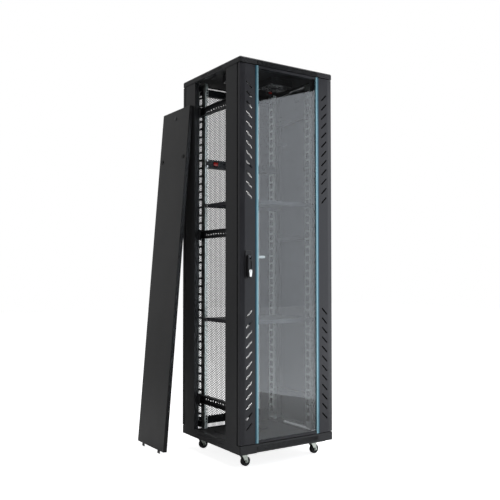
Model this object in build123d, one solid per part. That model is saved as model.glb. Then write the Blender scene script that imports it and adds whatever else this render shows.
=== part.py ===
"""Floor-standing network rack cabinet, 42 units high, on castors.

A folded sheet-metal frame carries four 19 inch rails, a glazed front door, a
mesh rear door and a removable side panel.  The second side panel is taken off
and leans on the cabinet beside the opening it came from.

Frame of the model: +X to the right, +Y to the rear, +Z up.  Everything is
drawn about the cabinet's centre line at floor level, and export moves the
whole set so that the origin is the middle of its box at the floor.
All sizes are millimetres.
"""
from build123d import *
import os
from math import cos, hypot, radians, sin

# ---------------------------------------------------------------- overall
cabinet_width = 600.0
cabinet_depth = 600.0
body_height = 2000.0        # base skirt's underside to roof
ground_gap = 82.0           # floor to the base skirt's underside
sheet = 1.5                 # frame, posts and doors
rail_sheet = 2.0            # mounting rails
panel_sheet = 1.2           # side panels
touch_gap = 0.5             # between pieces that rest close but don't join
running_gap = 0.05          # radial clearance of a pin in its hole

# ---------------------------------------------------------------- base and roof
skirt_height = 42.0
skirt_corner = 6.0
ledge_width = 20.0
castor_land = 135.0         # corner plate in the base's lower flange
cap_height = 30.0
cap_overhang = 3.0
cap_corner = 12.0
cap_edge_round = 9.0
vent_slot_width = 4.0
vent_slot_pitch = 8.0
front_vent_length = 400.0
front_vent_height = 24.0
side_vent_length = 300.0
side_vent_height = 12.0
roof_side_vent_length = 216.0
roof_side_vent_y = -20.0
eyebolt_spacing_x = 460.0
eyebolt_spacing_y = 460.0
eyebolt_hole = 5.25

# ---------------------------------------------------------------- posts, struts, rails
post_side = 106.0
post_front_flange = 24.0
post_lip = 10.0
strut_heights = (289.0, 1197.0, 1885.0)
strut_height = 44.0
strut_width = 25.0
strut_slot_pitch = 25.0
strut_slot_length = 11.0
strut_slot_height = 8.0
bracket_height = 58.0
bracket_thickness = 3.0
bracket_foot = 16.0         # length of the bracket's ear along the strut
rack_unit = 44.45
rack_units = 42
rack_opening = 450.0        # between the rail flanges
rack_hole_offset = 7.55     # rail flange's inner edge to the line of holes
rack_hole = 9.5
rail_flange = 20.0
rail_web = 72.0
rail_slot_length = 30.0
rail_slot_height = 33.0
rail_slot_margin = 6.0
front_rail_setback = 95.0
rail_spacing = 350.0        # front rail face to rear rail face
beam_height = 40.0
beam_depth = 20.0

# ---------------------------------------------------------------- doors
door_gap = 4.0
door_thickness = 22.0
door_side_gap = 0.5
door_bevel_width = 28.0
door_bevel_depth = 4.0
door_stile = 93.0           # body side to the glass trim
door_return = 14.0
door_rail_height = 12.0
door_lip = 16.0
pin_inset_x = 8.0
pin_inset_y = 11.0
pin_radius = 4.0
pin_reach = 16.0
slat_height = 37.0
slat_width = 8.0
slat_pitch = 51.0
slat_count = 12
slat_centre = 55.0          # from the body side
slat_group_low = 497.0
slat_group_high = 1661.0
trim_width = 18.0
trim_depth = 11.5
trim_proud = 1.5
glass_thickness = 5.0
glass_grip = 8.0
glass_gap = 0.2
gasket_width = 10.0
gasket_thickness = 6.0
gasket_gap = 2.0            # behind the gasket of a closed door
rear_border = 70.0
rear_rail_border = 28.0
rear_lock_inset = 58.0
rear_cam_length = 32.0
mesh_thickness = 1.5
mesh_overlap = 12.0

# ---------------------------------------------------------------- swing handle
handle_inset = 50.0         # body side to the handle's centre line
handle_pivot_height = 1067.0
handle_plate_width = 42.0
handle_plate_top = 32.0
handle_plate_bottom = 112.0
handle_plate_thickness = 4.0
spindle_radius = 6.0
boss_radius = 12.0
spindle_reach = 46.0        # behind the door's front sheet
head_width = 12.0
trunnion_radius = 3.0
lever_width = 24.0
lever_thickness = 14.0
lever_length = 106.0
lock_drop = 84.0            # pivot to the lock's centre
lock_radius = 8.0
cover_width = 20.0
cover_height = 36.0
cover_taper = 3.5
cover_thickness = 3.0
rivet_radius = 2.5
rivet_rise = 11.5           # lock's centre to the cover's rivet
cam_length = 132.0
cam_width = 14.0
cam_thickness = 3.0
hook_length = 24.0          # arm that turns behind the post's striker

# ---------------------------------------------------------------- side panels
panel_gap = 1.5
panel_end_gap = 7.0
panel_depth = 22.0
panel_clearance = 3.0       # behind a closed panel
panel_lip = 12.0
tab_length = 18.0
tab_width = 30.0
tab_inset = 6.0             # outer face of the panel to the tab
tab_share = 0.3             # of the panel's width, from its centre line
latch_drop = 288.0
latch_inset = 34.0
latch_travel = 10.0
latch_clearance = 2.0       # between the post's lip and the tongue behind it
latch_plate = 3.0
lock_drop_panel = 48.0
panel_cam_length = 52.0
keeper_drop = 14.0
keeper_length = 60.0
striker_reach = 11.0        # post's lip to the striker's inner edge
striker_height = 40.0
striker_clearance = 2.0     # in front of the door's hook
lean_angle = 4.7
lean_centre_y = 346.0

# ---------------------------------------------------------------- castors
castor_inset_x = 75.0
castor_inset_y = 85.0
castor_plate = 100.0
castor_plate_height = 13.0
castor_plate_wall = 3.0
wheel_radius = 25.0
wheel_width = 22.0
castor_trail = 12.0
fork_plate = 2.5
fork_gap = 1.5              # beside the wheel
fork_head_radius = 23.0
fork_head_thickness = 8.0
swivel_gap = 2.0
kingpin_radius = 5.0
axle_radius = 4.0

# ---------------------------------------------------------------- roof fans
roof_cutout_x = 430.0
roof_cutout_y = 240.0
roof_panel_margin = 20.0
roof_panel_thickness = 1.5
fan_offset_x = 115.0
fan_y = -20.0
fan_size = 150.0
fan_depth = 38.0
fan_bore = 142.0
fan_hub_radius = 24.0
fan_blades = 7
guard_wire = 3.0
guard_rings = (28.0, 44.0, 60.0, 73.0)
guard_eye_radius = 90.0
switch_x = 142.0
switch_y = 72.0
switch_size = (30.0, 20.0, 54.0)
switch_stem = 35.0
switch_plug_offset = 8.0    # the power plug hangs to the right of the box's middle

# ---------------------------------------------------------------- shelves and power strip
shelf_heights = (728.0, 1359.0)
shelf_thickness = 1.5
shelf_side_gap = 1.0
shelf_flange = 20.0
shelf_slot_count = 9
shelf_slot_pitch = 40.0
strip_height_above_floor = 1596.0
strip_height = 44.0
strip_depth = 45.0
strip_end_gap = 4.0         # power strip's body to each rail flange
ear_overhang = 16.3         # power strip's ear past the rail flange's inner edge
ear_thickness = 2.0
socket_count = 6
socket_radius = 19.0
socket_pitch = 52.0
socket_start = 59.0         # rocker's centre to the first socket
rocker_inset = 44.0         # end of the strip's body to the rocker's centre
rocker_width = 26.0
rocker_height = 20.0
rocker_depth = 12.0
rocker_pin_radius = 2.0
rocker_pin_reach = 3.0      # past the rocker's side
rocker_pin_depth = 5.0      # behind the strip's or the box's face
bolt_radius = 3.0
bolt_head_radius = 4.8
bolt_head = 3.5
bolt_length = 12.0
bolt_hole = 3.25

# ---------------------------------------------------------------- floor panel
floor_clearance = 1.0
entry_width = 260.0
entry_depth = 110.0
entry_centre_y = 150.0
entry_overlap = 12.0
entry_cover_thickness = 2.0

# ---------------------------------------------------------------- places worked out from the sizes
half_width = cabinet_width / 2
half_depth = cabinet_depth / 2
base_low = ground_gap
base_top = ground_gap + skirt_height
roof_top = ground_gap + body_height
cap_low = roof_top - cap_height
door_low = base_top + door_gap
door_high = cap_low - door_gap
door_front = -half_depth
door_back = door_front + door_thickness
door_edge = half_width - door_side_gap
post_setback = door_thickness + gasket_thickness + gasket_gap
post_front = half_depth - post_setback
post_back = post_front - post_side
opening_flange_x = half_width - panel_depth - panel_clearance
rail_web_x = rack_opening / 2 + rail_flange
rack_hole_x = rack_opening / 2 + rack_hole_offset
strip_half = rack_opening / 2 - strip_end_gap
rocker_x = -strip_half + rocker_inset
socket_first = rocker_x + socket_start
front_rail_y = -half_depth + front_rail_setback
rear_rail_y = front_rail_y + rail_spacing
rail_low_hole = (base_top + cap_low - rack_units * rack_unit) / 2
pin_x = half_width - pin_inset_x
pin_y = half_depth - pin_inset_y
handle_x = -half_width + handle_inset
plate_front = door_front - handle_plate_thickness
lever_back = plate_front - touch_gap
pivot_y = lever_back - lever_thickness / 2
lever_front = lever_back - lever_thickness
cam_front = door_front + spindle_reach - cam_thickness
panel_width = 2 * (post_back - panel_gap)
panel_low = base_top + panel_end_gap
panel_high = cap_low - panel_end_gap
panel_height = panel_high - panel_low
fan_top = roof_top - sheet - roof_panel_thickness
fan_low = fan_top - fan_depth
castor_plate_low = ground_gap - castor_plate_height
fork_head_top = castor_plate_low - swivel_gap
fan_rocker_y = switch_y - switch_size[1] / 2
fan_rocker_z = fan_top - switch_size[2] + 13
fan_rocker_width = switch_size[0] - 10
floor_top = base_low + 2 * sheet
trim_outer = half_width - door_stile
trim_inner = trim_outer - trim_width
glass_edge = trim_inner + glass_grip - glass_gap
glass_front = door_front + 3.0
trim_back = door_front - trim_proud + trim_depth
rear_lock_x = -half_width + rear_lock_inset
lip_back = post_front - post_lip
keeper_x = opening_flange_x
latch_plane = opening_flange_x - latch_clearance

parts = {}


# ---------------------------------------------------------------- drawing helpers
def block(x_span, y_span, z_span):
    """Box between low and high values on each axis."""
    spans = (x_span, y_span, z_span)
    middle = [(low + high) / 2 for low, high in spans]
    size = [high - low for low, high in spans]
    return Pos(*middle) * Box(*size)


def rod(radius, x, y, z):
    """Round bar along the one coordinate that is given as a (low, high) pair."""
    turns = (Rot(0, 90, 0), Rot(90, 0, 0), Rot(0, 0, 0))
    places = [x, y, z]
    for number, place in enumerate(places):
        if isinstance(place, tuple):
            length = place[1] - place[0]
            turn = turns[number]
            places[number] = (place[0] + place[1]) / 2
    return Pos(*places) * turn * Cylinder(radius, length)


def folded(points, thickness):
    """Section of folded sheet: a line of corners, and the same line one thickness to its left."""
    steps = [(b[0] - a[0], b[1] - a[1]) for a, b in zip(points, points[1:])]
    normals = [(-dy / hypot(dx, dy), dx / hypot(dx, dy)) for dx, dy in steps]
    inner = []
    for number, (x, y) in enumerate(points):
        before = normals[max(number - 1, 0)]
        after = normals[min(number, len(normals) - 1)]
        share = thickness / (1 + before[0] * after[0] + before[1] * after[1])
        inner.append((x + (before[0] + after[0]) * share, y + (before[1] + after[1]) * share))
    return make_face(Polyline(*points, *reversed(inner), close=True))


def upright(section, low, high):
    """Stand a plan section up between two heights."""
    return Pos(0, 0, low) * extrude(section, high - low)


def left_right(shape):
    """The shape and its mirror image across the cabinet's centre plane."""
    return shape, mirror(shape, about=Plane.YZ)


def ring(width, depth, corner, inner_width, inner_depth):
    """Flat frame with a rounded outside and a square inside."""
    return RectangleRounded(width, depth, corner) - Rectangle(inner_width, inner_depth)


def vent_row(length, height, centre_z, along_x, low, high):
    """Row of upright slots through a skirt; low and high bound it across the wall."""
    count = int(length // vent_slot_pitch)
    slots = []
    for number in range(count):
        place = (number - (count - 1) / 2) * vent_slot_pitch
        across = (place - vent_slot_width / 2, place + vent_slot_width / 2)
        tall = (centre_z - height / 2, centre_z + height / 2)
        spans = (across, (low, high)) if along_x else ((low, high), across)
        slots.append(block(*spans, tall))
    return slots


def corner_lands(size_x, size_y, low, high):
    """Four rectangles of plate in the corners of the cabinet's plan."""
    lands = []
    for side in (-1, 1):
        for end in (-1, 1):
            x_span = sorted((side * half_width, side * (half_width - size_x)))
            y_span = sorted((end * half_depth, end * (half_depth - size_y)))
            lands.append(block(x_span, y_span, (low, high)))
    return lands


# ---------------------------------------------------------------- base frame and floor
def skirt(low, high, corner, grow):
    """Upright band round the plan, with a turned-in ledge at its top and its foot."""
    width = cabinet_width + 2 * grow
    depth = cabinet_depth + 2 * grow
    outline = upright(RectangleRounded(width, depth, corner), low, high)
    inside = RectangleRounded(width - 2 * sheet, depth - 2 * sheet, corner - sheet)
    return outline, upright(inside, low, high)


def vented(body, centre_z, grow, side_length, side_y):
    """Cut the ventilation slots of all four sides."""
    for end in (-1, 1):
        wall = sorted((end * (half_depth + grow + 1), end * (half_depth + grow - sheet - 1)))
        body -= vent_row(front_vent_length, front_vent_height, centre_z, True, *wall)
        wall = sorted((end * (half_width + grow + 1), end * (half_width + grow - sheet - 1)))
        slots = vent_row(side_length, side_vent_height, centre_z, False, *wall)
        body -= [Pos(0, side_y, 0) * slot for slot in slots]
    return body


def tab_slots(low, high):
    """Slots in the base's ledge that take the side panels' tabs."""
    slots = []
    reach = tab_inset + panel_sheet
    for side in (-1, 1):
        for end in (-1, 1):
            centre = end * tab_share * panel_width
            x_span = sorted((side * (half_width - sheet), side * (half_width - reach - 6)))
            reach_y = tab_width / 2 + 3
            slots.append(block(x_span, (centre - reach_y, centre + reach_y), (low, high)))
    return slots


def make_base():
    outline, hollow = skirt(base_low, base_top, skirt_corner, 0)
    body = outline - hollow
    inner = (cabinet_width - 2 * ledge_width, cabinet_depth - 2 * ledge_width)
    ledge = ring(cabinet_width, cabinet_depth, skirt_corner, *inner)
    body += upright(ledge, base_top - sheet, base_top)
    body += upright(ledge, base_low, base_low + sheet)
    post_land = (post_front_flange + sheet, post_setback + post_side + sheet)
    lands = corner_lands(*post_land, base_top - sheet, base_top)
    lands += corner_lands(castor_land, castor_land, base_low, base_low + sheet)
    for land in lands:
        body += land & outline
    body = vented(body, base_low + skirt_height / 2, 0, side_vent_length, 0)
    body -= tab_slots(base_top - sheet - 1, base_top + 1)
    return body


def make_floor():
    width = cabinet_width - 2 * sheet - 2 * floor_clearance
    depth = cabinet_depth - 2 * sheet - 2 * floor_clearance
    outline = RectangleRounded(width, depth, skirt_corner - sheet)
    panel = upright(outline, base_low + sheet, floor_top)
    x_span = (-entry_width / 2, entry_width / 2)
    y_span = (entry_centre_y - entry_depth / 2, entry_centre_y + entry_depth / 2)
    return panel - block(x_span, y_span, (base_low, floor_top + 1))


def make_entry_cover():
    reach_x = entry_width / 2 + entry_overlap
    reach_y = entry_depth / 2 + entry_overlap
    y_span = (entry_centre_y - reach_y, entry_centre_y + reach_y)
    top = floor_top + entry_cover_thickness
    cover = block((-reach_x, reach_x), y_span, (floor_top, top))
    lift = block((-reach_x, reach_x), (y_span[0], y_span[0] + sheet), (top, top + 10))
    return cover + lift


def castor_places():
    """Name, swivel axis and castor plate centre for each corner."""
    for end, row in ((-1, "front"), (1, "rear")):
        for side, hand in ((-1, "left"), (1, "right")):
            x = side * (half_width - castor_inset_x)
            y = end * (half_depth - castor_inset_y)
            yield row + "_" + hand, x, y


def make_castor_plates():
    plates = []
    half = castor_plate / 2
    wall = castor_plate_wall
    for _, x, y in castor_places():
        tray = block((x - half, x + half), (y - half, y + half), (castor_plate_low, base_low))
        hollow = block((x - half + wall, x + half - wall), (y - half + wall, y + half - wall),
                       (castor_plate_low + wall, base_low))
        hole = rod(kingpin_radius + running_gap, x, y, (castor_plate_low - 1, castor_plate_low + wall + 1))
        plates.append(tray - hollow - hole)
    return plates


# ---------------------------------------------------------------- castors
def make_castor(x, y):
    """Fork with its kingpin, axle and wheel; the wheel trails towards +X."""
    axle_x = x + castor_trail
    cheek_in = wheel_width / 2 + fork_gap
    cheek_out = cheek_in + fork_plate
    head_low = fork_head_top - fork_head_thickness
    corners = [(x - 17, head_low + 1), (x + 17, head_low + 1), (axle_x + 8, wheel_radius + 2),
               (axle_x + 5, wheel_radius - 8), (axle_x - 5, wheel_radius - 8), (axle_x - 9, wheel_radius + 2)]
    outline = make_face(Polyline(*corners, close=True))
    cheek = Pos(0, y - cheek_in, 0) * extrude(Plane.XZ * outline, fork_plate)
    other = Pos(0, y + cheek_out, 0) * extrude(Plane.XZ * outline, fork_plate)
    fork = rod(fork_head_radius, x, y, (head_low, fork_head_top)) + cheek + other
    fork += rod(kingpin_radius, x, y, (head_low, castor_plate_low + castor_plate_wall + 4))
    fork -= rod(axle_radius + running_gap, axle_x, (y - cheek_out - 1, y + cheek_out + 1), wheel_radius)
    reach = cheek_out + touch_gap
    axle = rod(axle_radius, axle_x, (y - reach, y + reach), wheel_radius)
    for end in (-1, 1):
        span = sorted((y + end * reach, y + end * (reach + 3)))
        axle += rod(axle_radius + 2, axle_x, tuple(span), wheel_radius)
    wheel = rod(wheel_radius, axle_x, (y - wheel_width / 2, y + wheel_width / 2), wheel_radius)
    wheel = fillet(wheel.edges().filter_by(GeomType.CIRCLE), 4)
    for end in (-1, 1):
        span = sorted((y + end * (wheel_width / 2 - 3), y + end * (wheel_width / 2 + 1)))
        dish = rod(wheel_radius - 7, axle_x, tuple(span), wheel_radius)
        hub = rod(axle_radius + 4, axle_x, tuple(span), wheel_radius)
        wheel -= dish - hub
    wheel -= rod(axle_radius + running_gap, axle_x, (y - wheel_width, y + wheel_width), wheel_radius)
    return fork, axle, wheel


# ---------------------------------------------------------------- posts, beams, struts, rails
def bracket_bolt_places():
    """Y and Z of the bolts that hold the struts' end brackets to the posts' lips."""
    y = post_back + post_lip / 2
    return [(y, height + offset) for height in strut_heights for offset in (-20, 20)]


def make_posts():
    """Front left post, drawn as folded channel and mirrored to the other corners."""
    x = half_width
    points = [(-opening_flange_x, -post_back - post_lip), (-opening_flange_x, -post_back), (-x, -post_back),
              (-x, -post_front), (-x + post_front_flange, -post_front),
              (-x + post_front_flange, -post_front + post_lip)]
    post = upright(folded(points, sheet), base_top, cap_low)
    for bolt_y, bolt_z in bracket_bolt_places():
        post -= rod(bolt_hole, (-opening_flange_x - sheet - 1, -opening_flange_x + 1), -bolt_y, bolt_z)
    front_left, front_right = left_right(post)
    rear_left = mirror(front_left, about=Plane.XZ)
    rear_right = mirror(front_right, about=Plane.XZ)
    return {"post_front_left": front_left, "post_front_right": front_right,
            "post_rear_left": rear_left, "post_rear_right": rear_right}


def make_rear_beams():
    """Two channels across the back, between the rear posts' flanges."""
    reach = half_width - post_front_flange
    beams = []
    for low in (base_top, cap_low - beam_height):
        points = [(post_front - beam_depth, low + beam_height), (post_front - beam_depth, low),
                  (post_front, low), (post_front, low + beam_height)]
        section = Plane.YZ * folded(points, sheet)
        beams.append(Pos(-reach, 0, 0) * extrude(section, 2 * reach))
    return beams


def make_strut(height):
    """Left depth strut: slotted channel open to the outside, with an end bracket on each post."""
    low = height - strut_height / 2
    high = height + strut_height / 2
    outer = -rail_web_x - strut_width
    points = [(outer, low), (-rail_web_x, low), (-rail_web_x, high), (outer, high)]
    section = Plane.XZ * folded(points, sheet)
    reach = post_back - bracket_thickness
    channel = Pos(0, reach, 0) * extrude(section, 2 * reach)
    count = int((2 * reach - strut_slot_pitch) // strut_slot_pitch)
    for number in range(count):
        y = (number - (count - 1) / 2) * strut_slot_pitch
        slot = block((-rail_web_x - sheet - 1, -rail_web_x + 1),
                     (y - strut_slot_length / 2, y + strut_slot_length / 2),
                     (height - strut_slot_height / 2, height + strut_slot_height / 2))
        channel -= slot
    tall = (height - bracket_height / 2, height + bracket_height / 2)
    ear_x = (-opening_flange_x, -opening_flange_x + bracket_thickness)
    for end in (-1, 1):
        y_span = sorted((end * reach, end * post_back))
        channel += block((-opening_flange_x, -rail_web_x), y_span, tall)
        y_span = sorted((end * (post_back - bracket_foot), end * (post_back + post_lip)))
        ear = block(ear_x, y_span, tall)
        for bolt_y, bolt_z in bracket_bolt_places():
            ear -= rod(bolt_hole, (ear_x[0] - 1, ear_x[1] + 1), end * bolt_y, bolt_z)
        channel += ear
    return channel


def rack_holes():
    """Heights of the rail's square holes, three to a unit."""
    for unit in range(rack_units):
        for offset in (6.35, 22.225, 38.1):
            yield rail_low_hole + unit * rack_unit + offset


def make_rail(flange_y):
    """Left rail: front flange with square holes, web with one large slot to each unit."""
    tall = cap_low - base_top
    middle = (cap_low + base_top) / 2
    flange_x = -(rack_opening / 2 + rail_flange / 2)
    flange = Pos(flange_x, middle) * Rectangle(rail_flange, tall)
    flange -= [Pos(-rack_hole_x, z) * Rectangle(rack_hole, rack_hole) for z in rack_holes()]
    flange = Pos(0, flange_y + rail_sheet, 0) * extrude(Plane.XZ * flange, rail_sheet)
    slot_y = flange_y + rail_web - rail_slot_margin - rail_slot_length / 2
    web = Pos(flange_y + rail_web / 2, middle) * Rectangle(rail_web, tall)
    for unit in range(rack_units):
        z = rail_low_hole + (unit + 0.5) * rack_unit
        web -= Pos(slot_y, z) * Rectangle(rail_slot_length, rail_slot_height)
    web = Pos(-rail_web_x, 0, 0) * extrude(Plane.YZ * web, rail_sheet)
    return flange + web


# ---------------------------------------------------------------- roof and fans
def make_roof_frame():
    width = cabinet_width + 2 * cap_overhang
    depth = cabinet_depth + 2 * cap_overhang
    shell = upright(RectangleRounded(width, depth, cap_corner), cap_low, roof_top)
    shell = fillet(shell.faces().sort_by(Axis.Z)[-1].edges(), cap_edge_round)
    inside = RectangleRounded(width - 2 * sheet, depth - 2 * sheet, cap_corner - sheet)
    hollow = upright(inside, cap_low, roof_top - sheet)
    hollow = fillet(hollow.faces().sort_by(Axis.Z)[-1].edges(), cap_edge_round - sheet)
    body = shell - hollow
    inner = (cabinet_width - 2 * ledge_width, cabinet_depth - 2 * ledge_width)
    ledge = ring(width - sheet, depth - sheet, cap_corner - sheet / 2, *inner)
    ledge = upright(ledge, cap_low, cap_low + sheet)
    post_land = (post_front_flange + sheet, post_setback + post_side + sheet)
    lands = corner_lands(*post_land, cap_low, cap_low + sheet)
    for plate in [ledge] + lands:
        body += plate & shell
    slot_z = cap_low + (cap_height - cap_edge_round + sheet) / 2
    body = vented(body, slot_z, cap_overhang, roof_side_vent_length, roof_side_vent_y)
    body -= block((-roof_cutout_x / 2, roof_cutout_x / 2), (-roof_cutout_y / 2, roof_cutout_y / 2),
                  (roof_top - sheet - 1, roof_top + 1))
    for side in (-1, 1):
        for end in (-1, 1):
            x = side * eyebolt_spacing_x / 2
            y = end * eyebolt_spacing_y / 2
            body -= rod(eyebolt_hole, x, y, (roof_top - sheet - 1, roof_top + 1))
    return body


def fan_places():
    return ((-fan_offset_x, fan_y), (fan_offset_x, fan_y))


def make_roof_panel():
    half_x = roof_cutout_x / 2 + roof_panel_margin
    half_y = roof_cutout_y / 2 + roof_panel_margin
    plate = block((-half_x, half_x), (-half_y, half_y), (fan_top, fan_top + roof_panel_thickness))
    for x, y in fan_places():
        plate -= rod(fan_bore / 2, x, y, (fan_top - 1, fan_top + 3))
    return plate


def make_fan_housing(x, y):
    half = fan_size / 2
    frame = block((x - half, x + half), (y - half, y + half), (fan_low, fan_top))
    frame = fillet(frame.edges().filter_by(Axis.Z), 8)
    frame -= rod(fan_bore / 2, x, y, (fan_low - 1, fan_top + 1))
    mount_low = fan_top - 6
    for turn in (0, 120, 240):
        spoke = block((0, fan_bore / 2 + 1), (-3, 3), (mount_low, fan_top))
        frame += Pos(x, y, 0) * Rot(0, 0, turn + 30) * spoke
    frame += rod(fan_hub_radius, x, y, (mount_low, fan_top))
    return frame - rod(3 + running_gap, x, y, (mount_low - 1, fan_top + 1))


def make_fan_rotor(x, y):
    """Hub, stub axle and pitched blades that turn in the housing's bore."""
    hub_high = fan_top - 6 - touch_gap
    hub_low = fan_low + 4
    rotor = rod(fan_hub_radius - 1, x, y, (hub_low, hub_high))
    rotor += rod(3, x, y, (hub_high - 1, fan_top - 1))
    reach = fan_bore / 2 - 4
    for number in range(fan_blades):
        blade = Pos((fan_hub_radius + reach) / 2 - 2, 0, 0) * Box(reach - fan_hub_radius + 4, 30, 2)
        turned = Rot(0, 0, number * 360 / fan_blades) * Rot(35, 0, 0) * blade
        rotor += Pos(x, y, (hub_low + hub_high) / 2) * turned
    return rotor


def make_fan_guard(x, y):
    """Wire finger guard: rings on four radial wires that end in screw eyes."""
    radius = guard_wire / 2
    level = fan_low - radius - touch_gap
    tall = (level - radius, level + radius)
    guard = rod(guard_rings[0] + radius, 0, 0, tall) - rod(guard_rings[0] - radius, 0, 0, tall)
    for ring_radius in guard_rings[1:]:
        guard += rod(ring_radius + radius, 0, 0, tall) - rod(ring_radius - radius, 0, 0, tall)
    for turn in (45, 135, 225, 315):
        wire = block((guard_rings[0], guard_eye_radius), (-radius, radius), tall)
        guard += Rot(0, 0, turn) * wire
        guard += Rot(0, 0, turn) * rod(5, guard_eye_radius, 0, (level - radius, fan_low))
    return Pos(x, y, 0) * guard


def make_fan_switch():
    """Switch box hung from the roof panel, its rocker near the foot, and the angled power plug in it."""
    size_x, size_y, size_z = switch_size
    x_span = (switch_x - size_x / 2, switch_x + size_x / 2)
    y_span = (switch_y - size_y / 2, switch_y + size_y / 2)
    low = fan_top - size_z
    box = block(x_span, y_span, (low, fan_top))
    pocket_z = (fan_rocker_z - 10, fan_rocker_z + 10)
    pocket = block((x_span[0] + 4, x_span[1] - 4), (y_span[0] - 1, y_span[0] + 15), pocket_z)
    plug_x = switch_x + switch_plug_offset
    stem_low = low - switch_stem
    stem = block((plug_x - 5, plug_x + 5), (switch_y - 4, switch_y + 4), (stem_low, low))
    foot = block((plug_x - 24, plug_x + 24), (switch_y - 9, switch_y + 9), (stem_low - 9, stem_low))
    hole = rocker_pin(switch_x, fan_rocker_y, fan_rocker_z, fan_rocker_width, rocker_pin_radius + running_gap)
    return box - pocket - hole + stem + foot


def rocker_pin(x, front_y, z, width, radius):
    """Pivot of a rocker, let into the walls on both sides of it."""
    reach = width / 2 + rocker_pin_reach
    return rod(radius, (x - reach, x + reach), front_y + rocker_pin_depth, z)


def make_rocker(x, front_y, z, width, height, depth):
    """Rocker key, proud at its foot and pressed at its head, on a pivot along X."""
    half = height / 2
    back = front_y + depth
    corners = [(front_y - 1, z + half), (front_y - 4, z), (front_y - 1.5, z - half), (back, z - half * 0.5),
               (back, z + half * 0.5)]
    outline = make_face(Polyline(*corners, close=True))
    key = Pos(x - width / 2, 0, 0) * extrude(Plane.YZ * outline, width)
    return key + rocker_pin(x, front_y, z, width, rocker_pin_radius)


# ---------------------------------------------------------------- shelves and power strip
def ear_bolt_places():
    """X, Z and front face of each bolt that fixes a shelf or the power strip to the rails."""
    x = rack_hole_x
    for side in (-1, 1):
        for offset in (-15.875, 15.875):
            yield side * x, strip_z + offset, rear_rail_y - ear_thickness
        for shelf_z in shelf_levels:
            yield side * x, shelf_z, front_rail_y - ear_thickness
            yield side * x, shelf_z, rear_rail_y - ear_thickness


def nearest_unit_middle(height):
    """Middle height of the rack unit that holds a given height."""
    unit = int((height - rail_low_hole) // rack_unit)
    return rail_low_hole + (unit + 0.5) * rack_unit


strip_z = nearest_unit_middle(strip_height_above_floor)
shelf_levels = [min(rack_holes(), key=lambda hole: abs(hole - height)) for height in shelf_heights]


def make_shelf(level):
    """Slotted tray with turned-down edges, and ears that bolt to the front and the rear rails."""
    half = rack_opening / 2 - shelf_side_gap
    top = level + shelf_flange / 2
    low = top - shelf_flange
    front = front_rail_y - ear_thickness
    rear = rear_rail_y - ear_thickness
    tray = block((-half, half), (front, rear + ear_thickness), (top - shelf_thickness, top))
    for side in (-1, 1):
        x_span = sorted((side * half, side * (half - shelf_thickness)))
        tray += block(x_span, (front, rear + ear_thickness), (low, top))
    for y in (front, rear):
        tray += block((-rail_web_x, rail_web_x), (y, y + ear_thickness), (low, top))
    for number in range(shelf_slot_count):
        x = (number - (shelf_slot_count - 1) / 2) * shelf_slot_pitch
        for y in (front + 60, front + 150, front + 240):
            tray -= Pos(x, y, top) * Box(8, 50, 10)
    for x, z, y in ear_bolt_places():
        tray -= rod(bolt_hole, x, (y - 1, y + ear_thickness + 1), z)
    return tray


def make_power_strip():
    low = strip_z - strip_height / 2
    high = strip_z + strip_height / 2
    front = rear_rail_y - ear_thickness
    body = block((-strip_half, strip_half), (front, front + strip_depth), (low, high))
    ear_end = rack_opening / 2 + ear_overhang
    body += block((-ear_end, ear_end), (front, front + ear_thickness), (low, high))
    for number in range(socket_count):
        x = socket_first + number * socket_pitch
        body -= rod(socket_radius, x, (front - 1, front + 8), strip_z)
        for pin in (-1, 1):
            body -= rod(2.6, x + pin * 9.5, (front + 7, front + 26), strip_z)
    pocket_x = (rocker_x - rocker_width / 2 - 1, rocker_x + rocker_width / 2 + 1)
    body -= block(pocket_x, (front - 1, front + rocker_depth + 4), (strip_z - 14, strip_z + 14))
    body -= rocker_pin(rocker_x, front, strip_z, rocker_width, rocker_pin_radius + running_gap)
    for x, z, y in ear_bolt_places():
        if y > 0:
            body -= rod(bolt_hole, x, (y - 1, y + ear_thickness + 1), z)
    return body


def bolt():
    """Hexagon-socket bolt: head below the origin, shank up."""
    body = rod(bolt_head_radius, 0, 0, (-bolt_head, 0)) + rod(bolt_radius, 0, 0, (0, bolt_length))
    return body - Pos(0, 0, -bolt_head) * extrude(RegularPolygon(2.6, 6), 2, both=True)


def make_bolts():
    bolts = []
    seat = opening_flange_x - bracket_thickness
    for side in (-1, 1):
        for end in (-1, 1):
            for y, z in bracket_bolt_places():
                bolts.append(Pos(side * seat, end * y, z) * Rot(0, side * 90, 0) * bolt())
    for x, z, y in ear_bolt_places():
        bolts.append(Pos(x, y, z) * Rot(-90, 0, 0) * bolt())
    return bolts


# ---------------------------------------------------------------- front door
def slat_openings(hand):
    """Slanted vent slots of one stile: the two groups lean opposite ways."""
    openings = []
    x = hand * (half_width - slat_centre)
    for centre, lean in ((slat_group_low, -45), (slat_group_high, 45)):
        for number in range(slat_count):
            z = centre + (number - (slat_count - 1) / 2) * slat_pitch
            length = (slat_height - slat_width) * 2 ** 0.5 + slat_width
            slot = Rot(90, 0, 0) * extrude(SlotOverall(length, slat_width), 10, both=True)
            openings.append(Pos(x, door_front, z) * Rot(0, hand * -lean, 0) * slot)
    return openings


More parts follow.
